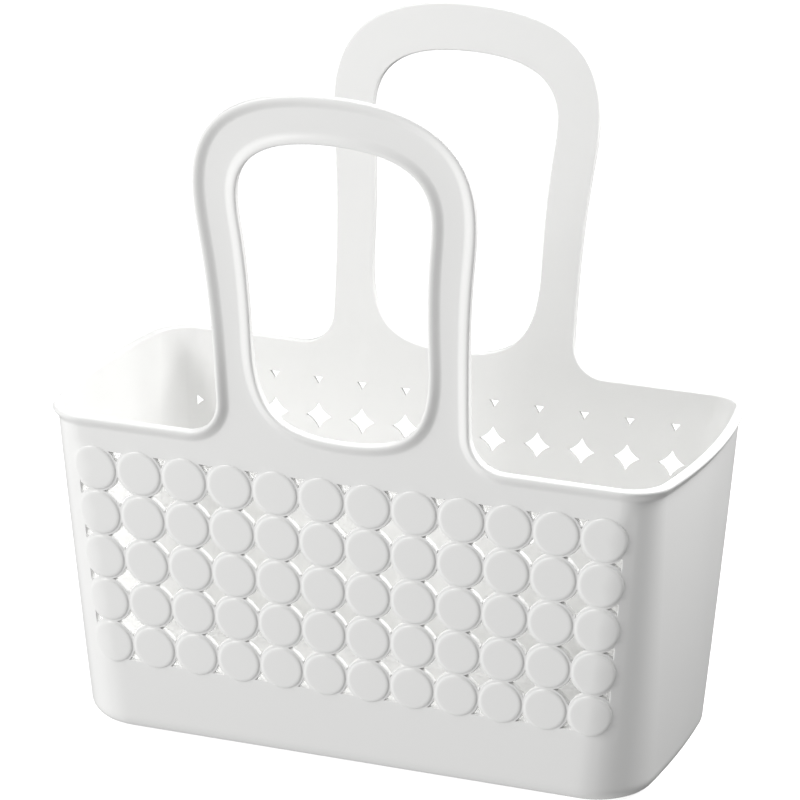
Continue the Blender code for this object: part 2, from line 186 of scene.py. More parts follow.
class Shape:
    """The tote's sizes with the few formulas that every zone shares."""

    def __init__(self, scene):
        self.tub = scene.caddy_tub
        self.pattern = scene.caddy_pattern
        self.handle = scene.caddy_handle
        tub = self.tub
        self.base = (tub.base_length, tub.base_width, tub.base_bulge, tub.base_corner)
        self.rim = (tub.rim_length, tub.rim_width, tub.rim_bulge, tub.rim_corner)
        self.shrink = self.pattern.pitch_low / self.pattern.pitch_top
        self.grow = (1 - self.shrink) / (2 * (self.pattern.rows - 1))
        self.rim_zone_z = tub.rim_z - 2 * tub.lip_height

    def plan(self, z):
        t = z / self.tub.rim_z
        size, width, bulge, corner = (lerp(a, b, t) for a, b in zip(self.base, self.rim))
        end_r = (width ** 2 + bulge ** 2) / (2 * bulge)
        end_x = size - end_r
        corner_y = width - corner
        corner_x = end_x + math.sqrt((end_r - corner) ** 2 - corner_y ** 2)
        turn = math.atan2(corner_y, corner_x - end_x)
        return corner_x, corner_y, corner, end_x, end_r, turn

    def corner_end(self, z):
        corner_x, _, corner, _, _, turn = self.plan(z)
        return corner_x + corner * (math.pi / 2 - turn)

    def quarter(self, z):
        _, _, _, _, end_r, turn = self.plan(z)
        return self.corner_end(z) + end_r * turn

    def wall_point(self, u, z, depth, level=None):
        """The point at length u from the middle of the front, depth inwards, on the
        outline of height z. It is drawn at that height, or at level if one is given."""
        corner_x, corner_y, corner, end_x, end_r, turn = self.plan(z)
        side, along = math.copysign(1.0, u), abs(u)
        past_flat = along - corner_x
        past_corner = past_flat - corner * (math.pi / 2 - turn)
        if past_flat <= 0:
            x, y = along, corner_y + corner - depth
        elif past_corner <= 0:
            angle = past_flat / corner
            x = corner_x + (corner - depth) * math.sin(angle)
            y = corner_y + (corner - depth) * math.cos(angle)
        else:
            angle = turn - past_corner / end_r
            x = end_x + (end_r - depth) * math.cos(angle)
            y = (end_r - depth) * math.sin(angle)
        return Vector((side * x, -y, z if level is None else level))

    def row_z(self, row):
        steps = row * self.shrink + row ** 2 * self.grow
        return self.pattern.row_low_z + self.pattern.row_step * steps

    def pitch_at(self, z):
        pattern = self.pattern
        span = self.row_z(pattern.rows - 1) - pattern.row_low_z
        return lerp(pattern.pitch_low, pattern.pitch_top, (z - pattern.row_low_z) / span)

    def panel_u(self, columns, z):
        """Length u of a place counted in disc spacings from the middle."""
        return columns * self.pitch_at(min(z, self.rim_zone_z))

    def end_u(self, step, z):
        """Length u of a station on the way from the panel's edge to the end's middle."""
        start = self.panel_u(PANEL_REACH, z)
        corner_end = self.corner_end(z)
        if step <= CORNER_STEPS:
            return lerp(start, corner_end, step / CORNER_STEPS)
        return lerp(corner_end, self.quarter(z), (step - CORNER_STEPS) / END_STEPS)

    def plate_point(self, x, s, depth):
        """A point of the front wall's top and its handle: x across, s up from the rim
        along the surface, depth inwards from the outer face."""
        tub, handle = self.tub, self.handle
        slope = (self.rim[1] - self.base[1]) / tub.rim_z
        y, z = -self.rim[1] - slope * min(s, 0.0), tub.rim_z + min(s, 0.0)
        if s <= 0:
            return Vector((x, y + depth, z))
        low = math.atan(slope)
        turned = min(s, handle.sweep)
        rate = (handle.lean - low) / handle.sweep
        lean = low + rate * turned
        y -= (math.cos(low) - math.cos(lean)) / rate + (s - turned) * math.sin(lean)
        z += (math.sin(lean) - math.sin(low)) / rate + (s - turned) * math.cos(lean)
        face = lean * turned / handle.sweep
        return Vector((x, y + depth * math.cos(face), z + depth * math.sin(face)))

    def lip_profile(self):
        """The lip in section, as depth and height over the edge, from the foot of its
        slope on the outer face, over the bead, to the inner face."""
        out, high, wall = self.tub.lip_out, self.tub.lip_height, self.tub.wall
        bead, inner = LIP_ROUND * high, LIP_ROUND * wall
        foot, head = -LIP_FOOT * high, -LIP_HEAD * bead
        points = []
        for share in spaced(0, 1, LIP_STEPS):
            points.append((-out * smooth(share), lerp(foot, head, share)))
        points += arc((bead - out, -bead), bead, 180, 90, 5)
        points += arc((wall - inner, -inner), inner, 90, 0, 4)
        return points


# Places along half of a long wall, in disc spacings from its middle: the panel's edge,
# the start of the rim lip, the last disc, and where the stations move closer together.
PANEL_REACH = 6.1
RIM_START = 4.0
LAST_DISC = 5.5
FINE_START = 5.75
FINE_STEP = 0.05
FINE_COUNT = 8

# Steps round a corner, along half an end, across a disc and down the slope of the lip.
CORNER_STEPS = 16
END_STEPS = 8
STEPS_PER_DISC = 8
LIP_STEPS = 9

# The lip's slope runs from its foot, in lip heights, to its head, in bead radii. The
# last is the radius of the bead in lip heights, and of the inner edge in walls.
LIP_FOOT = 1.9
LIP_HEAD = 1.1
LIP_ROUND = 0.4


def panel_columns():
    """Stations across half the panel, in disc spacings: fine where it wraps round."""
    coarse = [i / STEPS_PER_DISC for i in range(int(FINE_START * STEPS_PER_DISC))]
    fine = [FINE_START + FINE_STEP * i for i in range(FINE_COUNT)]
    return coarse + fine


# -------------------------------------------------------------------- mesh tools

# Points closer than this are one point, and edges shorter than the second are dropped.
WELD = 4e-6
SLIVER = 1e-6


class Skin:
    """Faces of one piece. A cap closes the piece where it meets its neighbour."""

    def __init__(self):
        self.points, self.faces, self.caps = [], [], []

    def add(self, corners, cap=False):
        first = len(self.points)
        self.points.extend(corners)
        self.faces.append(tuple(range(first, len(self.points))))
        self.caps.append(cap)

    def grid(self, rows, cap=False, closed=False):
        """Quads between rows of points. The rows wind so that faces point outwards."""
        for low, high in zip(rows, rows[1:]):
            count = len(low)
            for i in range(count if closed else count - 1):
                j = (i + 1) % count
                self.add((low[i], low[j], high[j], high[i]), cap)

    def add_mesh(self, mesh):
        for polygon in mesh.polygons:
            self.add([mesh.vertices[i].co.copy() for i in polygon.vertices])

    def turned(self):
        """The same skin, turned half round for the rear or the left."""
        other = Skin()
        other.points = [Vector((-p.x, -p.y, p.z)) for p in self.points]
        other.faces, other.caps = list(self.faces), list(self.caps)
        return other


def skin_object(name, skin):
    """A closed object of the skin, its caps in a face attribute for the shading."""
    mesh = bpy.data.meshes.new(name)
    mesh.from_pydata([p[:] for p in skin.points], [], skin.faces)
    cap = mesh.attributes.new("cap", "BOOLEAN", "FACE")
    cap.data.foreach_set("value", skin.caps)
    bm = bmesh.new()
    bm.from_mesh(mesh)
    bmesh.ops.remove_doubles(bm, verts=bm.verts, dist=WELD)
    bmesh.ops.dissolve_degenerate(bm, edges=bm.edges, dist=SLIVER)
    cap = bm.faces.layers.bool["cap"]
    for face in bm.faces:
        face.smooth = True
    for edge in bm.edges:
        edge.smooth = len({face[cap] for face in edge.link_faces}) == 1
    bm.to_mesh(mesh)
    bm.free()
    obj = bpy.data.objects.new(name, mesh)
    bpy.context.scene.collection.objects.link(obj)
    return obj


def fill_plate(outlines, spots, keep):
    """Triangles between closed outlines of 2D points, with loose spots among them.
    Returns points and faces, the faces anticlockwise, where keep(x, y) is true."""
    points, edges = [], []
    for outline in outlines:
        first, count = len(points), len(outline)
        points += [Vector(p) for p in outline]
        edges += [(first + i, first + (i + 1) % count) for i in range(count)]
    points += [Vector(p) for p in spots]
    points, _, faces, _, _, _ = delaunay_2d_cdt(points, edges, [], 0, 1e-7)
    kept = []
    for face in faces:
        centre = sum((points[i] for i in face), Vector((0, 0))) / len(face)
        if keep(centre.x, centre.y):
            a, b, c = (points[i] for i in face[:3])
            flip = (b - a).cross(c - a) < 0
            kept.append(face[::-1] if flip else face)
    return points, kept


def inside(outline, x, y):
    hit = False
    for (x0, y0), (x1, y1) in zip(outline, outline[1:] + outline[:1]):
        if (y0 > y) != (y1 > y) and x < x0 + (y - y0) * (x1 - x0) / (y1 - y0):
            hit = not hit
    return hit


def offset_line(points, distance, closed):
    """Points moved to the left of the line's direction by a distance."""
    moved = []
    count = len(points)
    for i, (x, y) in enumerate(points):
        before = points[(i - 1) % count] if closed or i else points[i]
        after = points[(i + 1) % count] if closed or i < count - 1 else points[i]
        run = Vector((after[0] - before[0], after[1] - before[1])).normalized()
        moved.append((x - run.y * distance, y + run.x * distance))
    return moved


# ---------------------------------------------------------------- disc pattern

BORDER_REACH = PANEL_REACH - LAST_DISC
DISC_STEPS = 36
SHOULDER = [math.radians(a) for a in (0, 22.5, 45, 67.5, 90)]
# Angles round the edge of an opening or a drain hole.
EDGE_TURNS = [math.radians(a) for a in (0, 45, 90)]
# The outer columns wrap round a corner, so their discs have rings inside the face and
# loose points behind it, all in disc spacings.
FACE_RINGS = (0.28, 0.14)
BACK_SPOTS = [(x, y) for x in spaced(-0.45, 0.45, 6) for y in spaced(-0.4, 0.4, 2)]
BACK_REACH = 0.9


class Cell:
    """One disc with its share of the openings round it, in disc spacings. kx and ky
    are -1, 0 or 1: the pattern's low border, its inside, or its high border."""

    def __init__(self, shape, kx, ky):
        pattern = shape.pattern
        pitch = (pattern.pitch_top + pattern.pitch_low) / 2
        self.kx, self.ky = kx, ky
        self.wall = shape.tub.wall
        self.soften = pattern.soften
        self.ease = pattern.soften / pitch
        self.taper = pattern.taper / pitch
        self.ring = 0.5 + pattern.web / pitch
        self.border = pattern.border
        self.foot, self.face, self.rise = pattern.foot, pattern.face, pattern.rise
        self.skin = Skin()

    def stations(self, side, across):
        """Places along one side of the cell. A border side matches the plain wall."""
        low = -BORDER_REACH if across == -1 else -0.5
        high = BORDER_REACH if across == 1 else 0.5
        if not side:
            return sorted({low, 0.0, high})
        if side == "tall":
            return sorted({low, -0.5, -0.25, 0.0, 0.25, 0.5, high})
        half = [c - LAST_DISC for c in panel_columns() if c > LAST_DISC - 0.55]
        if across == 1:
            return half
        if across == -1:
            return [-c for c in reversed(half)]
        return spaced(-0.5, 0.5, STEPS_PER_DISC)

    def outline(self):
        x0, x1 = (-BORDER_REACH if self.kx == -1 else -0.5), (BORDER_REACH if self.kx == 1 else 0.5)
        y0, y1 = (-BORDER_REACH if self.ky == -1 else -0.5), (BORDER_REACH if self.ky == 1 else 0.5)
        low = self.stations("long" if self.ky == -1 else "", self.kx)
        high = self.stations("long" if self.ky == 1 else "", self.kx)
        left = self.stations("tall" if self.kx == -1 else "", self.ky)
        right = self.stations("tall" if self.kx == 1 else "", self.ky)
        points = [(x, y0) for x in low[:-1]] + [(x1, y) for y in right[:-1]]
        points += [(x, y1) for x in high[:0:-1]] + [(x0, y) for y in left[:0:-1]]
        return points

    def edge_line(self, sx, sy, ease):
        """The edge of the opening in one corner, moved back from it by ease, as points
        anticlockwise in the corner's own quarter. A corner of the pattern has none."""
        border_x, border_y = self.kx == sx, self.ky == sy
        if border_x and border_y:
            return []
        radius = self.ring - ease
        tip = math.acos(0.5 / radius)
        if not border_x and not border_y:
            return arc((0, 0), radius, math.degrees(tip), 90 - math.degrees(tip), 5)
        line = self.border + ease
        meet = math.asin(line / radius)
        points = arc((0, 0), radius, math.degrees(tip), math.degrees(meet), 4)
        points += [(x, line) for x in spaced(points[-1][0], 0.5, 2)[1:]]
        if border_x:
            points = [(y, x) for x, y in reversed(points)]
        return points

    def corners(self, ease):
        for sx, sy in ((1, 1), (-1, 1), (-1, -1), (1, -1)):
            line = [(sx * x, sy * y) for x, y in self.edge_line(sx, sy, ease)]
            if line:
                yield sx, sy, line

    def holes(self, ease):
        """Closed outlines of the openings in the corners, each moved back by ease."""
        for sx, sy, line in self.corners(ease):
            inner = self.kx != sx and self.ky != sy
            yield line + [(sx * 0.5, sy * 0.5)] if inner else line

    def fill(self, outlines, spots, height, inner):
        cuts = outlines[1:]
        points, faces = fill_plate(outlines, spots, lambda x, y: not any(
            inside(cut, x, y) for cut in cuts))
        for face in faces:
            corners = [Vector((points[i].x, points[i].y, height)) for i in face]
            self.skin.add(corners[::-1] if inner else corners)

    def build(self):
        wrapped = self.kx != 0
        holes = list(self.holes(self.ease))
        foot = arc((0, 0), self.foot, 0, 360, DISC_STEPS)[:-1]
        self.fill([self.outline(), foot] + holes, [], 0.0, False)
        reach = BACK_REACH * self.foot if wrapped else 0.0
        spots = [p for p in BACK_SPOTS if math.hypot(*p) < reach]
        holes = list(self.holes(self.ease - self.taper))
        self.fill([self.outline()] + holes, spots, -self.wall, True)
        self.add_disc(FACE_RINGS if wrapped else ())
        self.add_edges()
        return self.skin

    def add_disc(self, rings):
        rows = []
        for turn in SHOULDER:
            radius = self.face + (self.foot - self.face) * math.cos(turn)
            rows.append((radius, self.rise * math.sin(turn)))
        rows += [(radius, self.rise) for radius in rings]
        rows = [[Vector((x, y, height)) for x, y in arc((0, 0), radius, 0, 360, DISC_STEPS)[:-1]]
                for radius, height in rows]
        self.skin.grid(rows, closed=True)
        last, centre = rows[-1], Vector((0, 0, self.rise))
        for i in range(DISC_STEPS):
            self.skin.add((last[i], last[(i + 1) % DISC_STEPS], centre))

    def add_edges(self):
        """The rounded edges of the openings and the tapered wall between them."""
        profile = [(1 - math.sin(t), self.soften * (1 - math.cos(t))) for t in EDGE_TURNS]
        profile += [(share, self.wall - depth) for share, depth in reversed(profile)]
        rings = [list(self.corners(self.ease * share - self.taper * depth / self.wall))
                 for share, depth in profile]
        for corner in zip(*rings):
            sx, sy = corner[0][:2]
            rows = [[Vector((x, y, -depth)) for x, y in line]
                    for (_, _, line), (_, depth) in zip(corner, profile)]
            self.skin.grid(rows[::-1] if sx == sy else rows)


def socket(tree, kind, name, text, in_out="INPUT"):
    made = tree.interface.new_socket(name=name, in_out=in_out, socket_type="NodeSocket" + kind)
    made.description = text
    return made


def pattern_tree(material):
    """Geometry nodes that set a border, corner or inside cell on every grid point."""
    tree = bpy.data.node_groups.new("disc_pattern", "GeometryNodeTree")
    socket(tree, "Geometry", "Geometry", "Not used")
    socket(tree, "Int", "Columns", "Discs in a row")
    socket(tree, "Int", "Rows", "Rows of discs")
    socket(tree, "Collection", "Cells", "The nine kinds of cell, by name")
    socket(tree, "Material", "Material", "Plastic of the panel")
    socket(tree, "Geometry", "Geometry", "The pattern", "OUTPUT")
    nodes, link = tree.nodes, tree.links.new
    given = nodes.new("NodeGroupInput")

    def math_node(operation, a, b):
        node = nodes.new("ShaderNodeMath")
        node.operation = operation
        for slot, value in zip(node.inputs, (a, b)):
            if isinstance(value, (int, float)):
                slot.default_value = value
            else:
                link(value, slot)
        return node.outputs[0]

    grid = nodes.new("GeometryNodeMeshGrid")
    spread, counts = [], (given.outputs["Columns"], given.outputs["Rows"])
    for name, size, count in zip(("Vertices X", "Vertices Y"), ("Size X", "Size Y"), counts):
        span = math_node("SUBTRACT", count, 1)
        link(count, grid.inputs[name])
        link(span, grid.inputs[size])
        spread.append(math_node("MULTIPLY", span, 0.5))
    place = nodes.new("GeometryNodeInputPosition")
    split = nodes.new("ShaderNodeSeparateXYZ")
    link(place.outputs[0], split.inputs[0])
    kinds = []
    for axis, half in enumerate(spread):
        near = math_node("SUBTRACT", half, 0.1)
        high = math_node("GREATER_THAN", split.outputs[axis], near)
        low = math_node("LESS_THAN", split.outputs[axis], math_node("MULTIPLY", near, -1))
        kinds.append(math_node("SUBTRACT", math_node("ADD", high, 1), low))
    index = math_node("ADD", kinds[0], math_node("MULTIPLY", kinds[1], 3))
    cells = nodes.new("GeometryNodeCollectionInfo")
    cells.inputs["Separate Children"].default_value = True
    cells.inputs["Reset Children"].default_value = True
    link(given.outputs["Cells"], cells.inputs["Collection"])
    copies = nodes.new("GeometryNodeInstanceOnPoints")
    copies.inputs["Pick Instance"].default_value = True
    link(grid.outputs["Mesh"], copies.inputs["Points"])
    link(cells.outputs[0], copies.inputs["Instance"])
    link(index, copies.inputs["Instance Index"])
    real = nodes.new("GeometryNodeRealizeInstances")
    joined = nodes.new("GeometryNodeMergeByDistance")
    joined.inputs["Distance"].default_value = 1e-4
    look = nodes.new("GeometryNodeSetMaterial")
    done = nodes.new("NodeGroupOutput")
    link(copies.outputs[0], real.inputs[0])
    link(real.outputs[0], joined.inputs["Geometry"])
    link(joined.outputs[0], look.inputs["Geometry"])
    link(given.outputs["Material"], look.inputs["Material"])
    link(look.outputs[0], done.inputs[0])
    return tree


def pattern_mesh(shape, material):
    """The whole pattern, flat, in disc spacings from the middle of its bottom row."""
    cells = bpy.data.collections.new("cells")
    objects = []
    for index in range(9):
        skin = Cell(shape, index % 3 - 1, index // 3 - 1).build()
        obj = skin_object(f"cell_{index}", skin)
        bpy.context.scene.collection.objects.unlink(obj)
        cells.objects.link(obj)
        objects.append(obj)
    holder = bpy.data.objects.new("pattern", bpy.data.meshes.new("pattern"))
    bpy.context.scene.collection.objects.link(holder)
    tree = pattern_tree(material)
    modifier = holder.modifiers.new("Disc pattern", "NODES")
    modifier.node_group = tree
    values = {"Columns": shape.pattern.columns, "Rows": shape.pattern.rows,
              "Cells": cells, "Material": material}
    for item in tree.interface.items_tree:
        if item.in_out == "INPUT" and item.name in values:
            modifier[item.identifier] = values[item.name]
    bpy.context.view_layer.update()
    depsgraph = bpy.context.evaluated_depsgraph_get()
    mesh = bpy.data.meshes.new_from_object(holder.evaluated_get(depsgraph))
    bpy.data.objects.remove(holder)
    for obj in objects:
        bpy.data.objects.remove(obj)
    bpy.data.collections.remove(cells)
    bpy.data.node_groups.remove(tree)
    return mesh


# ------------------------------------------------------------------- wall zones

def wall_levels(shape):
    """Heights that the walls' vertices share, from the bottom edge to the rim zone."""
    rows = shape.pattern.rows
    pattern = [-BORDER_REACH] + spaced(-0.5, rows - 0.5, 4 * rows) + [rows - 1 + BORDER_REACH]
    heights = [shape.row_z(y) for y in pattern]
    low = spaced(shape.tub.edge_r, heights[0], 3)[:-1]
    return low, heights, [shape.rim_zone_z]


def both_ways(half):
    return [-c for c in reversed(half) if c > 0] + half


def add_sheet(skin, shape, heights, columns):
    """Both faces of a plain stretch of the front wall."""
    for depth in (0.0, shape.tub.wall):
        rows = [[shape.wall_point(shape.panel_u(c, z), z, depth) for c in columns] for z in heights]
        skin.grid(rows if depth == 0.0 else rows[::-1])


def add_border(skin, lines):
    """Caps between the outer and the inner line along the borders of a zone."""
    for outer, inner in lines:
        skin.grid([inner, outer], cap=True)


def panel_skin(shape, material):
    mesh = pattern_mesh(shape, material)
    middle = (shape.pattern.rows - 1) / 2
    for vertex in mesh.vertices:
        x, y, rise = vertex.co
        z = shape.row_z(y + middle)
        vertex.co = shape.wall_point(shape.panel_u(x, z), z, -rise)
    skin = Skin()
    skin.add_mesh(mesh)
    bpy.data.meshes.remove(mesh)
    low, pattern, high = wall_levels(shape)
    columns = both_ways(panel_columns())
    add_sheet(skin, shape, low + pattern[:1], columns)
    add_sheet(skin, shape, pattern[-1:] + high, columns)
    levels = low + pattern + high

    def line(places, depth):
        return [shape.wall_point(shape.panel_u(c, z), z, depth) for c, z in places]

    around = ([(c, levels[0]) for c in columns], [(columns[-1], z) for z in levels],
              [(c, levels[-1]) for c in columns[::-1]], [(columns[0], z) for z in levels[::-1]])
    add_border(skin, [(line(side, 0.0), line(side, shape.tub.wall)) for side in around])
    return skin


def end_line(shape, z, depth, level=None):
    """The right end's outline from the front panel to the rear one."""
    steps = range(CORNER_STEPS + END_STEPS + 1)
    front = [shape.wall_point(shape.end_u(i, z), z, depth, level) for i in steps]
    return front + [Vector((p.x, -p.y, p.z)) for p in reversed(front[:-1])]


def end_skin(shape):
    low, pattern, high = wall_levels(shape)
    levels = low + pattern + high
    outer = [end_line(shape, z, 0.0) for z in levels]
    inner = [end_line(shape, z, shape.tub.wall) for z in levels]
    skin = Skin()
    skin.grid(outer)
    skin.grid(inner[::-1])
    add_border(skin, [(outer[0], inner[0]), (outer[-1][::-1], inner[-1][::-1]),
                      ([row[-1] for row in outer], [row[-1] for row in inner]),
                      ([row[0] for row in outer[::-1]], [row[0] for row in inner[::-1]])])
    return skin


def rim_line(shape, z, depth):
    """The right end's outline from one handle's root to the other's."""
    columns = [c for c in panel_columns() if c >= RIM_START]
    front = [shape.wall_point(shape.panel_u(c, z), z, depth) for c in columns[:-1]]
    rear = [Vector((p.x, -p.y, p.z)) for p in reversed(front)]
    return front + end_line(shape, z, depth) + rear


def rim_profile(shape):
    low = -2 * shape.tub.lip_height
    return [(0.0, low)] + shape.lip_profile() + [(shape.tub.wall, low)]


def rim_skin(shape):
    rows = [rim_line(shape, shape.tub.rim_z + s, depth) for depth, s in rim_profile(shape)]
    skin = Skin()
    skin.grid(rows)
    skin.grid([rows[-1], rows[0]], cap=True)
    skin.add([row[0] for row in rows][::-1], cap=True)
    skin.add([row[-1] for row in rows], cap=True)
    return skin


def base_line(shape, depth, level):
    """The whole outline at the bottom edge, anticlockwise from the left of the front."""
    z = shape.tub.edge_r
    columns = both_ways(panel_columns())
    front = [shape.wall_point(shape.panel_u(c, z), z, depth, level) for c in columns]
    right = end_line(shape, z, depth, level)
    half = front[:-1] + right[:-1]
    return half + [Vector((-p.x, -p.y, p.z)) for p in half]


def base_skin(shape):
    """The rounded bottom edge, with the floor's thickness where it meets the floor."""
    tub = shape.tub
    turns = [math.radians(a) for a in spaced(0, 90, 8)]
    outer = [(tub.edge_r * (1 - math.cos(t)), tub.edge_r * (1 - math.sin(t))) for t in turns]
    wide, high = tub.edge_r - tub.wall, tub.edge_r - tub.floor
    inner = [(tub.edge_r - wide * math.cos(t), tub.edge_r - high * math.sin(t)) for t in turns]
    outer = [base_line(shape, depth, z) for depth, z in outer]
    inner = [base_line(shape, depth, z) for depth, z in inner]
    skin = Skin()
    skin.grid(outer[::-1], closed=True)
    skin.grid(inner, closed=True)
    skin.grid([outer[0], inner[0]], cap=True, closed=True)
    skin.grid([inner[-1], outer[-1]], cap=True, closed=True)
    return skin


DRAIN_STEPS = 24
DRAIN_SOFTEN = 0.15  # radius on a drain's edges, in drain radii


def floor_skin(shape):
    tub = shape.tub
    edge = [(p.x, p.y) for p in base_line(shape, tub.edge_r, 0.0)]
    soft = DRAIN_SOFTEN * tub.drain_r
    centres = [(i * tub.drain_x, j * tub.drain_y) for i in range(-2, 3) for j in (-1, 1)]
    holes = [arc(c, tub.drain_r + soft, 0, 360, DRAIN_STEPS)[:-1] for c in centres]
    points, faces = fill_plate([edge] + holes, [], lambda x, y: not any(
        inside(hole, x, y) for hole in holes))
    skin = Skin()
    for level in (0.0, tub.floor):
        for face in faces:
            corners = [Vector((points[i].x, points[i].y, level)) for i in face]
            skin.add(corners if level else corners[::-1])
    profile = [(soft * (1 - math.sin(t)), soft * (1 - math.cos(t))) for t in EDGE_TURNS]
    profile += [(out, tub.floor - down) for out, down in reversed(profile)]
    for c in centres:
        rows = [[Vector((x, y, z))
                 for x, y in arc(c, tub.drain_r + out, 0, 360, DRAIN_STEPS)[:-1]]
                for out, z in profile]
        skin.grid(rows[::-1], closed=True)
    top = [Vector((x, y, tub.floor)) for x, y in edge]
    skin.grid([[Vector((p.x, p.y, 0.0)) for p in top], top], cap=True, closed=True)
    return skin


# --------------------------------------------------------------------- handles

# Heights up the plate: where it bends at rest, so that its points lie closer, the next
# level above that, and a height within that bend whose point the join step works out but doesn't use.
BEND_START = -0.003
BEND_STOP = 0.055
STRAIGHT_START = 0.061
FLEX_STOP = 0.05
# How far to each side loose points reach, and how far they stay from the plate's edges.
SPOT_REACH = 0.08
SPOT_CLEAR = 0.0018


def bezier(points, count):
    """Points of one Bezier stretch, without its first."""
    knots = [Vector((x, y, 0)) for x, y in points]
    return [(p.x, p.y) for p in interpolate_bezier(*knots, count + 1)][1:]


def arch(side, top, fullness, count):
    """From a side that runs upright to the middle of a top that runs level."""
    x, s = side
    return bezier([(x, s), (x, lerp(s, top, fullness)), (fullness * x, top), (0.0, top)], count)


def upright(low, high, count):
    """A side that is upright at both ends and moves out between them."""
    (x0, s0), (x1, s1) = low, high
    return bezier([low, (x0, lerp(s0, s1, 0.7)), (x1, lerp(s0, s1, 0.8)), high], count)


def both_sides(half):
    """A whole line from its right half, which ends in the middle."""
    return half + [(-x, s) for x, s in reversed(half[:-1])]


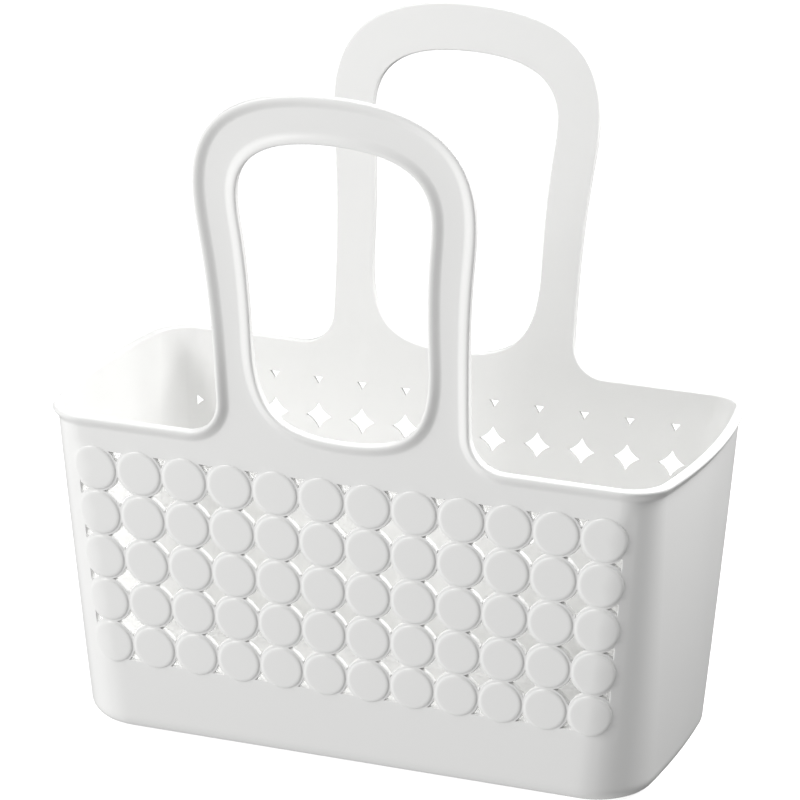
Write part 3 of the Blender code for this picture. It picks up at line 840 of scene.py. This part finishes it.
class Plate:
    """The front handle and the stretch of wall under it, drawn flat and then bent: x
    runs across, s up from the rim, and the third coordinate stands out of the wall."""

    def __init__(self, shape):
        self.shape = shape
        handle = shape.handle
        self.edge = shape.panel_u(RIM_START, shape.tub.rim_z)
        low, high = (handle.leg_low, handle.leg_low_s), (handle.leg_high, handle.leg_high_s)
        centre_x = handle.leg_low + handle.fillet
        half = [(lerp(self.edge, centre_x, t), 0.0) for t in (0, 0.5)]
        half += arc((centre_x, handle.fillet), handle.fillet, 270, 180, 14)
        half += upright(low, high, 30) + arch(high, handle.top_s, handle.arch, 30)
        self.outer = both_sides(half)
        neck, wide = (handle.hole_neck, handle.hole_neck_s), (handle.hole_wide, handle.hole_wide_s)
        lower = arch((neck[0], -neck[1]), -handle.hole_low_s, handle.low_arch, 26)
        half = [(x, -s) for x, s in reversed(lower)][1:] + [neck]
        half += upright(neck, wide, 20) + arch(wide, handle.hole_top_s, handle.arch, 28)
        loop = [(0.0, handle.hole_low_s)] + both_sides(half)
        self.hole = loop[::-1]

    def rings(self):
        """The lip along both edges, as rings of points from the outer to the inner face."""
        made = []
        for line, closed in ((self.outer, False), (self.hole, True)):
            rows = []
            for depth, height in self.shape.lip_profile():
                row = offset_line(line, -height, closed)
                rows.append([Vector((x, s, -depth * (self.relief(s) if depth < 0 else 1)))
                             for x, s in row])
            made.append((rows, closed))
        return made

    def relief(self, s):
        """Share of its projection that the lip has at height s."""
        share = min(max(s / self.shape.handle.relief_s, 0.0), 1.0)
        return lerp(1.0, self.shape.handle.relief, smooth(share))

    def spots(self):
        """Loose points, close together where the plate bends."""
        levels = spaced(BEND_START, BEND_STOP, 15)
        levels += spaced(STRAIGHT_START, self.shape.handle.top_s, 14)
        return [(x, s) for s in levels for x in spaced(-SPOT_REACH, SPOT_REACH, 32)]

    def fill(self, skin, outer_row, hole_row, height, inner):
        low = -2 * self.shape.tub.lip_height
        columns = [c for c in both_ways(panel_columns()) if abs(c) <= RIM_START]
        base = [(self.shape.panel_u(c, self.shape.tub.rim_z), low) for c in columns]
        edge = base + [(p.x, p.y) for p in outer_row]
        hole = [(p.x, p.y) for p in hole_row]
        tight = [Vector(p) for p in edge + hole]
        tree = KDTree(len(tight))
        for i, p in enumerate(tight):
            tree.insert((p.x, p.y, 0), i)
        tree.balance()
        spots = [(x, s) for x, s in self.spots() if inside(edge, x, s)
                 and not inside(hole, x, s) and tree.find((x, s, 0))[2] > SPOT_CLEAR]
        points, faces = fill_plate([edge, hole], spots, lambda x, s: inside(edge, x, s)
                                   and not inside(hole, x, s))
        for face in faces:
            corners = [Vector((points[i].x, points[i].y, height)) for i in face]
            skin.add(corners[::-1] if inner else corners)
        return [Vector((x, s, height)) for x, s in base]

    def build(self):
        """The closed plate, as a skin whose caps are marked as caps."""
        skin = Skin()
        (outer, _), (hole, _) = rings = self.rings()
        for rows, closed in rings:
            skin.grid(rows[::-1], closed=closed)
        wall = self.shape.tub.wall
        front = self.fill(skin, outer[0], hole[0], 0.0, False)
        back = self.fill(skin, outer[-1], hole[-1], -wall, True)
        skin.grid([back, front], cap=True)
        skin.add([front[-1]] + [row[0] for row in outer] + [back[-1]], cap=True)
        skin.add(([front[0]] + [row[-1] for row in outer] + [back[0]])[::-1], cap=True)
        return skin

    def zones(self):
        """The plate cut level into a root, two legs and a grip, bent to its place."""
        whole = skin_object("plate", self.build())
        root_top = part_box("front_handle_root")[1][2]
        grip_low = GRIP_BOX[0][2]
        zones = {}
        for name, low, high, side in (
                ("handle_root", None, root_top, 0), ("right_leg", root_top, grip_low, 1),
                ("left_leg", root_top, grip_low, -1), ("grip", grip_low, None, 0)):
            zones[name] = self.zone(whole, low, high, side)
        bpy.data.objects.remove(whole)
        return zones

    def height_s(self, z):
        """How far up the plate a level z lies."""
        low, high = 0.0, self.shape.handle.top_s
        for _ in range(40):
            middle = (low + high) / 2
            if self.shape.plate_point(0.0, middle, 0.0).z < z:
                low = middle
            else:
                high = middle
        return low

    def zone(self, whole, low, high, side):
        bm = bmesh.new()
        bm.from_mesh(whole.data)
        cap = bm.faces.layers.bool["cap"]
        cuts = [(low, 1), (high, -1)]
        for z, keep in cuts:
            if z is None:
                continue
            geometry = bm.verts[:] + bm.edges[:] + bm.faces[:]
            made = bmesh.ops.bisect_plane(bm, geom=geometry, plane_co=(0, self.height_s(z), 0),
                                          plane_no=(0, keep, 0), clear_inner=True, dist=1e-7)
            edges = [e for e in made["geom_cut"] if isinstance(e, bmesh.types.BMEdge)]
            filled = bmesh.ops.edgeloop_fill(bm, edges=edges)
            for face in filled["faces"]:
                face[cap] = True
        if side:
            drop = [v for v in bm.verts if v.co.x * side < 0]
            bmesh.ops.delete(bm, geom=drop, context="VERTS")
        for vert in bm.verts:
            x, s, out = vert.co
            vert.co = self.shape.plate_point(x, s, -out)
        skin = Skin()
        for face in bm.faces:
            skin.add([v.co.copy() for v in face.verts], face[cap])
        bm.free()
        return skin


# -------------------------------------------------------------------- materials

# Scale and detail of the faint cloud in the white, of the change in gloss and of the grain.
TONE_NOISE = (18.0, 3.0)
GLOSS_NOISE = (60.0, 4.0)
GRAIN_NOISE = (900.0, 2.0)
TONE_LOW = 0.975
GLOSS_RANGE = (-0.05, 0.06)
GRAIN_STRENGTH = 0.25
POLYPROPYLENE_IOR = 1.49


def plastic(look):
    """Moulded polypropylene: a semi-gloss white skin with a fine grain."""
    found = bpy.data.materials.get("white_moulded_plastic")
    if found:
        return found
    material = bpy.data.materials.new("white_moulded_plastic")
    material.use_nodes = True
    nodes, link = material.node_tree.nodes, material.node_tree.links.new
    shader = nodes["Principled BSDF"]
    place = nodes.new("ShaderNodeTexCoord")

    def noise(scale, detail):
        node = nodes.new("ShaderNodeTexNoise")
        node.inputs["Scale"].default_value = scale
        node.inputs["Detail"].default_value = detail
        link(place.outputs["Object"], node.inputs["Vector"])
        return node.outputs["Fac"]

    def ramp(source, low, high):
        node = nodes.new("ShaderNodeMapRange")
        node.inputs["To Min"].default_value = low
        node.inputs["To Max"].default_value = high
        link(source, node.inputs["Value"])
        return node.outputs["Result"]

    tone = nodes.new("ShaderNodeMix")
    tone.data_type = "RGBA"
    tone.inputs["A"].default_value = (*(TONE_LOW * c for c in look.white), 1.0)
    tone.inputs["B"].default_value = (*look.white, 1.0)
    link(noise(*TONE_NOISE), tone.inputs["Factor"])
    link(tone.outputs["Result"], shader.inputs["Base Color"])
    glossy, dull = (look.roughness + change for change in GLOSS_RANGE)
    link(ramp(noise(*GLOSS_NOISE), glossy, dull), shader.inputs["Roughness"])
    grain = nodes.new("ShaderNodeBump")
    grain.inputs["Strength"].default_value = GRAIN_STRENGTH
    grain.inputs["Distance"].default_value = look.grain
    link(noise(*GRAIN_NOISE), grain.inputs["Height"])
    link(grain.outputs["Normal"], shader.inputs["Normal"])
    shader.inputs["IOR"].default_value = POLYPROPYLENE_IOR
    return material


def paper(name, tone, glow):
    """A dull plain white that also glows a little."""
    material = bpy.data.materials.new(name)
    material.use_nodes = True
    shader = material.node_tree.nodes["Principled BSDF"]
    shader.inputs["Emission Color"].default_value = (1.0, 1.0, 1.0, 1.0)
    shader.inputs["Emission Strength"].default_value = glow
    shader.inputs["Base Color"].default_value = (tone, tone, tone, 1.0)
    shader.inputs["Roughness"].default_value = 0.9
    return material


# ------------------------------------------------------------- surface and place

# Points of neighbouring pieces within this distance share their normal.
SAME_PLACE = 6e-6


def shared_normals(objects):
    """The same smooth normal for all pieces at each place where their faces meet, each
    face counted by its area and caps left out, so that a seam doesn't show."""
    tree = KDTree(sum(len(obj.data.vertices) for obj in objects))
    sums, start = [], 0
    for obj in objects:
        mesh = obj.data
        total = np.zeros((len(mesh.vertices), 3))
        caps = mesh.attributes["cap"].data
        for face in mesh.polygons:
            if not caps[face.index].value:
                push = np.array(face.normal) * face.area
                for i in face.vertices:
                    total[i] += push
        sums.append(total)
        for i, vertex in enumerate(mesh.vertices):
            tree.insert(vertex.co, start + i)
        start += len(mesh.vertices)
    tree.balance()
    sums = np.vstack(sums)
    for obj in objects:
        mesh = obj.data
        caps = mesh.attributes["cap"].data
        smooth = []
        for vertex in mesh.vertices:
            near = [found[1] for found in tree.find_range(vertex.co, SAME_PLACE)]
            smooth.append(Vector(sums[near].sum(axis=0)).normalized())
        loops = [None] * len(mesh.loops)
        for face in mesh.polygons:
            flat = caps[face.index].value
            for i in face.loop_indices:
                loops[i] = face.normal if flat else smooth[mesh.loops[i].vertex_index]
        mesh.normals_split_custom_set([tuple(n) for n in loops])


def pieces():
    return [obj for obj in bpy.context.scene.objects if obj.get("caddy_zone")]


def add_zone(node, skin):
    """A piece for one node of the frame, marked for the step that places them all."""
    obj = skin_object(node + "_skin", skin)
    obj.data.materials.append(plastic(bpy.context.scene.caddy_look))
    obj["caddy_zone"] = node
    return obj


# ------------------------------------------------------------------------ stage

# Direction of each lobe of the surround, the two cosines between which it grows, power.
STUDIO_LOBES = (
    ((0.0, 0.5, 1.0), -0.1, 0.9, 0.68),
    ((-0.5, -0.5, -0.7), 0.0, 0.95, 1.0),
)
# Name, place, target, size and power of each soft light.
STUDIO_LIGHTS = (
    ("key_light", (-0.85, -0.95, 0.95), (0, 0, 0.15), (0.6, 0.6), 11.6),
    ("side_light", (0.55, 0.15, 0.65), (0.1, 0, 0.1), (0.4, 0.4), 6.2),
)


# The camera's turn and rise round the tote, its tilt, lens and place.
CAMERA_TURN, CAMERA_RISE, CAMERA_TILT = (math.radians(a) for a in (20.674, 19.106, 0.627))
CAMERA_LENS = 197.449
CAMERA_PLACE = (0.636459, -1.686388, 0.773650)
# Half the width of the white floor.
STAGE_REACH = 6.0


def add_light(name, place, target, size, power):
    data = bpy.data.lights.new(name, "AREA")
    data.shape = "RECTANGLE"
    data.size, data.size_y = size
    data.energy = power
    obj = bpy.data.objects.new(name, data)
    bpy.context.scene.collection.objects.link(obj)
    obj.location = place
    aim = Vector(target) - Vector(place)
    obj.rotation_euler = aim.to_track_quat("-Z", "Y").to_euler()
    return obj


def add_camera():
    """A long lens, a little above the rim, from the front and to the right."""
    turn, rise, tilt = CAMERA_TURN, CAMERA_RISE, CAMERA_TILT
    back = Vector((math.sin(turn) * math.cos(rise), -math.cos(turn) * math.cos(rise), math.sin(rise)))
    right = Vector((math.cos(turn), math.sin(turn), 0.0))
    above = back.cross(right)
    right_tilted = right * math.cos(tilt) + above * math.sin(tilt)
    above_tilted = above * math.cos(tilt) - right * math.sin(tilt)
    data = bpy.data.cameras.new("camera")
    data.lens = CAMERA_LENS
    data.sensor_width = 36.0
    data.clip_end = 20.0
    obj = bpy.data.objects.new("camera", data)
    bpy.context.scene.collection.objects.link(obj)
    basis = Matrix((right_tilted, above_tilted, back)).transposed()
    obj.matrix_world = Matrix.Translation(CAMERA_PLACE) @ basis.to_4x4()
    bpy.context.scene.camera = obj


def add_floor_plane():
    """A wide white floor. It doesn't light the tote from below, the studio does."""
    mesh = bpy.data.meshes.new("stage_floor")
    far = STAGE_REACH
    corners = [(-far, -far, 0.0), (far, -far, 0.0), (far, far, 0.0), (-far, far, 0.0)]
    mesh.from_pydata(corners, [], [(0, 1, 2, 3)])
    mesh.materials.append(paper("white_paper", 0.9, 0.6))
    obj = bpy.data.objects.new("stage_floor", mesh)
    bpy.context.scene.collection.objects.link(obj)
    obj.visible_diffuse = False
    obj.visible_glossy = False
    obj.visible_shadow = False


def add_studio(lobes):
    """A soft surround, whose light grows smoothly towards each lobe's direction."""
    world = bpy.data.worlds.new("studio")
    bpy.context.scene.world = world
    world.use_nodes = True
    nodes, link = world.node_tree.nodes, world.node_tree.links.new
    place = nodes.new("ShaderNodeTexCoord")
    total = None
    for direction, start, end, power in lobes:
        dot = nodes.new("ShaderNodeVectorMath")
        dot.operation = "DOT_PRODUCT"
        dot.inputs[1].default_value = Vector(direction).normalized()
        link(place.outputs["Generated"], dot.inputs[0])
        lobe = nodes.new("ShaderNodeMapRange")
        lobe.interpolation_type = "SMOOTHSTEP"
        for name, value in (("From Min", start), ("From Max", end), ("To Min", 0.0), ("To Max", power)):
            lobe.inputs[name].default_value = value
        link(dot.outputs["Value"], lobe.inputs["Value"])
        if total is None:
            total = lobe.outputs["Result"]
            continue
        add = nodes.new("ShaderNodeMath")
        add.operation = "ADD"
        link(total, add.inputs[0])
        link(lobe.outputs["Result"], add.inputs[1])
        total = add.outputs[0]
    link(total, nodes["Background"].inputs["Strength"])
    nodes["Background"].inputs["Color"].default_value = (1.0, 1.0, 1.0, 1.0)


# -------------------------------------------------------------------- operators

class AddPanels(bpy.types.Operator):
    """Add the front and the rear wall with their raised discs and openings"""
    bl_idname = "caddy.add_panels"
    bl_label = "Front and Rear Panel"

    def execute(self, context):
        shape = Shape(context.scene)
        skin = panel_skin(shape, plastic(context.scene.caddy_look))
        add_zone("front_panel", skin)
        add_zone("rear_panel", skin.turned())
        return {"FINISHED"}


class AddEndWalls(bpy.types.Operator):
    """Add the plain bulging walls at both ends"""
    bl_idname = "caddy.add_end_walls"
    bl_label = "End Walls"

    def execute(self, context):
        skin = end_skin(Shape(context.scene))
        add_zone("right_end_wall", skin)
        add_zone("left_end_wall", skin.turned())
        return {"FINISHED"}


class AddRimLips(bpy.types.Operator):
    """Add the rounded lip of the rim round both ends"""
    bl_idname = "caddy.add_rim_lips"
    bl_label = "Rim Lips"

    def execute(self, context):
        skin = rim_skin(Shape(context.scene))
        add_zone("right_rim_lip", skin)
        add_zone("left_rim_lip", skin.turned())
        return {"FINISHED"}


class AddBaseEdge(bpy.types.Operator):
    """Add the rounded edge between the walls and the floor"""
    bl_idname = "caddy.add_base_edge"
    bl_label = "Bottom Edge"

    def execute(self, context):
        add_zone("base_edge", base_skin(Shape(context.scene)))
        return {"FINISHED"}


class AddFloor(bpy.types.Operator):
    """Add the floor with its drain holes"""
    bl_idname = "caddy.add_floor"
    bl_label = "Floor"

    def execute(self, context):
        add_zone("floor", floor_skin(Shape(context.scene)))
        return {"FINISHED"}


class AddHandles(bpy.types.Operator):
    """Add both loop handles, each with its root, two legs and grip"""
    bl_idname = "caddy.add_handles"
    bl_label = "Handles"

    def execute(self, context):
        for name, skin in Plate(Shape(context.scene)).zones().items():
            add_zone("front_" + name, skin)
            add_zone("rear_" + name, skin.turned())
        return {"FINISHED"}


class JoinSurfaces(bpy.types.Operator):
    """Smooth the zones into one moulding and tie each one but the handle roots and legs to its body"""
    bl_idname = "caddy.join_surfaces"
    bl_label = "Join Surfaces"

    def execute(self, context):
        zones = pieces()
        shared_normals(zones)
        shape = Shape(context.scene)
        start, end = (shape.plate_point(0.0, s, 0.0) for s in (0.0, FLEX_STOP))
        for obj in zones:
            node = obj["caddy_zone"]
            side = node.split("_")[0]
            if node.endswith(("root", "leg")):
                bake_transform(obj)
            else:
                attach(obj, side + "_handle" if node.endswith("grip") else "tub")
            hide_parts(node)
        return {"FINISHED"}


class AddStage(bpy.types.Operator):
    """Add the white floor, the soft lights and the camera"""
    bl_idname = "caddy.add_stage"
    bl_label = "Stage"

    def execute(self, context):
        add_camera()
        add_floor_plane()
        add_studio(STUDIO_LOBES)
        for light in STUDIO_LIGHTS:
            add_light(*light)
        context.scene.view_settings.view_transform = "Standard"
        return {"FINISHED"}


STEPS = (AddPanels, AddEndWalls, AddRimLips, AddBaseEdge, AddFloor, AddHandles, JoinSurfaces,
         AddStage)
SETTINGS = {"caddy_tub": CaddyTub, "caddy_pattern": CaddyPattern, "caddy_handle": CaddyHandle,
            "caddy_look": CaddyLook}


class CaddyPanel(bpy.types.Panel):
    """Sizes and steps of the shower caddy"""
    bl_idname = "VIEW3D_PT_shower_caddy"
    bl_label = "Shower Caddy"
    bl_space_type = "VIEW_3D"
    bl_region_type = "UI"
    bl_category = "Shower Caddy"

    def draw(self, context):
        for name, group in SETTINGS.items():
            box = self.layout.box()
            for key in group.bl_rna.properties.keys():
                if key not in ("rna_type", "name"):
                    box.prop(getattr(context.scene, name), key)
        for step in STEPS:
            self.layout.operator(step.bl_idname)


def register():
    for made in (*SETTINGS.values(), *STEPS, CaddyPanel):
        bpy.utils.register_class(made)
    for name, group in SETTINGS.items():
        setattr(bpy.types.Scene, name, PointerProperty(type=group))


def unregister():
    for name in SETTINGS:
        delattr(bpy.types.Scene, name)
    for made in reversed((*SETTINGS.values(), *STEPS, CaddyPanel)):
        bpy.utils.unregister_class(made)


def main():
    register()
    bpy.ops.caddy.add_panels()
    bpy.ops.caddy.add_end_walls()
    bpy.ops.caddy.add_rim_lips()
    bpy.ops.caddy.add_base_edge()
    bpy.ops.caddy.add_floor()
    bpy.ops.caddy.add_handles()
    bpy.ops.caddy.join_surfaces()
    bpy.ops.caddy.add_stage()


if __name__ == "__main__":
    main()
